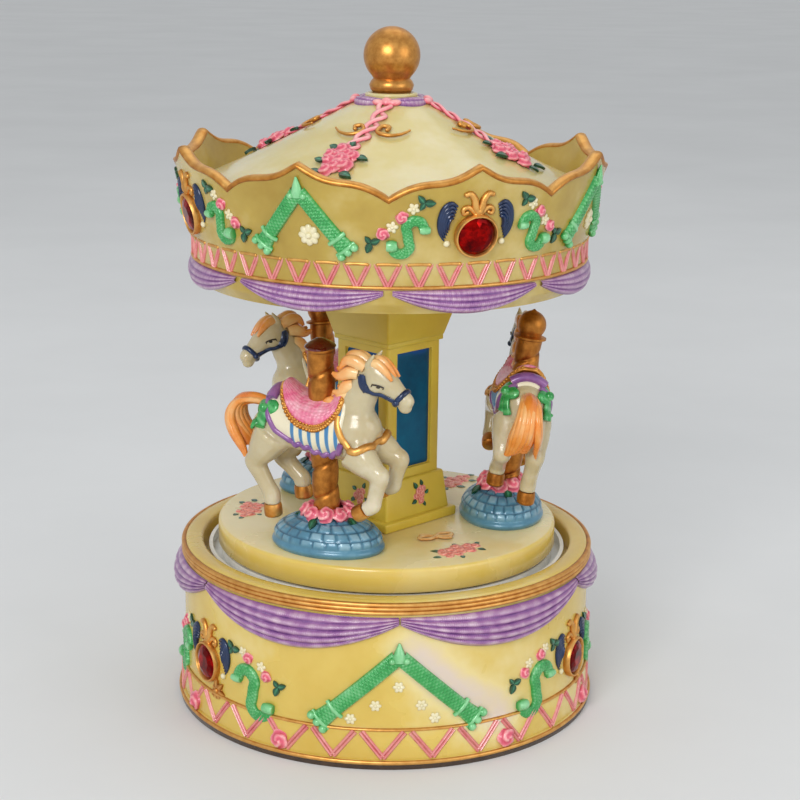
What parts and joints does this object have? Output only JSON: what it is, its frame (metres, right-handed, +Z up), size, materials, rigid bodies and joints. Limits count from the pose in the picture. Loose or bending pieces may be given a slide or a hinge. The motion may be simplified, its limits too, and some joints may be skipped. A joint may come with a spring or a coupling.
{
  "type": "carousel music box",
  "caption": "Wind-up resin carousel music box: a draped drum base with a key underneath turns a disc with galloping horses on twisted poles under a scalloped canopy.",
  "frame": {"origin": "centre of the foot on the surface the box stands on", "axes": "+Z up along the turning axis, -Y towards the front, +X to the right seen from the front"},
  "size_m": [0.1054, 0.1046, 0.1646],
  "materials": {
    "resin_cream": "glossy cream cast resin",
    "jewel_red": "clear red faceted acrylic",
    "felt_brown": "dark brown felt",
    "plate_black": "matt black plastic",
    "plastic_white": "white moulded plastic",
    "steel": "plain steel",
    "brass": "plain brass",
    "gold_paint": "metallic gold paint on resin",
    "horse_pearl": "pearly cream paint on resin",
    "mound_blue": "pearly blue paint on resin"
  },
  "bodies": {
    "base": {"base_shell": "resin_cream", "base_jewels": "jewel_red", "felt_ring": "felt_brown", "bottom_plate": "plate_black", "plate_screws": "steel", "bearing_ring": "plastic_white", "shaft_bush": "brass", "bedplate": "steel", "bedplate_screws": "steel", "comb": "steel", "comb_screws": "steel", "governor_bracket": "brass"},
    "carousel": {"turntable": "resin_cream", "drive_hub": "plastic_white", "hub_screws": "steel", "column": "resin_cream", "canopy": "resin_cream", "canopy_jewels": "jewel_red", "finial": "gold_paint", "spring_barrel": "brass", "barrel_lid": "brass", "mainspring": "steel", "horse_front": "horse_pearl", "pole_front": "gold_paint", "mound_front": "mound_blue", "horse_right": "horse_pearl", "pole_right": "gold_paint", "mound_right": "mound_blue", "horse_rear": "horse_pearl", "pole_rear": "gold_paint", "mound_rear": "mound_blue"},
    "key": {"winding_key": "brass", "winding_arbor": "steel"},
    "cylinder": {"cylinder": "brass", "cylinder_shaft": "steel", "cylinder_pinion": "brass", "cylinder_gear": "brass"},
    "second_wheel": {"second_wheel": "brass"},
    "governor": {"governor_worm": "steel", "governor_fan": "brass"}
  },
  "joints": [
    {"name": "carousel_spin", "type": "hinge", "parent": "base", "child": "carousel", "pos_m": [0, 0, 0.035], "axis": [0, 0, 1], "continuous": true},
    {"name": "key_turn", "type": "hinge", "parent": "base", "child": "key", "pos_m": [0, 0, 0.005], "axis": [0, 0, 1], "range_deg": [0, 1080]},
    {"name": "cylinder_spin", "type": "hinge", "parent": "base", "child": "cylinder", "pos_m": [0.0265, 0, 0.02032], "axis": [1, 0, 0], "continuous": true},
    {"name": "second_wheel_spin", "type": "hinge", "parent": "base", "child": "second_wheel", "pos_m": [0.03605, -0.01, 0.02032], "axis": [1, 0, 0], "continuous": true},
    {"name": "governor_spin", "type": "hinge", "parent": "base", "child": "governor", "pos_m": [0.03605, -0.01675, 0.02032], "axis": [0, 0, 1], "continuous": true}
  ],
  "couplings": [
    {"joint": "cylinder_spin", "follows": "carousel_spin", "ratio": 4},
    {"joint": "second_wheel_spin", "follows": "carousel_spin", "ratio": -12},
    {"joint": "governor_spin", "follows": "carousel_spin", "ratio": -240}
  ]
}
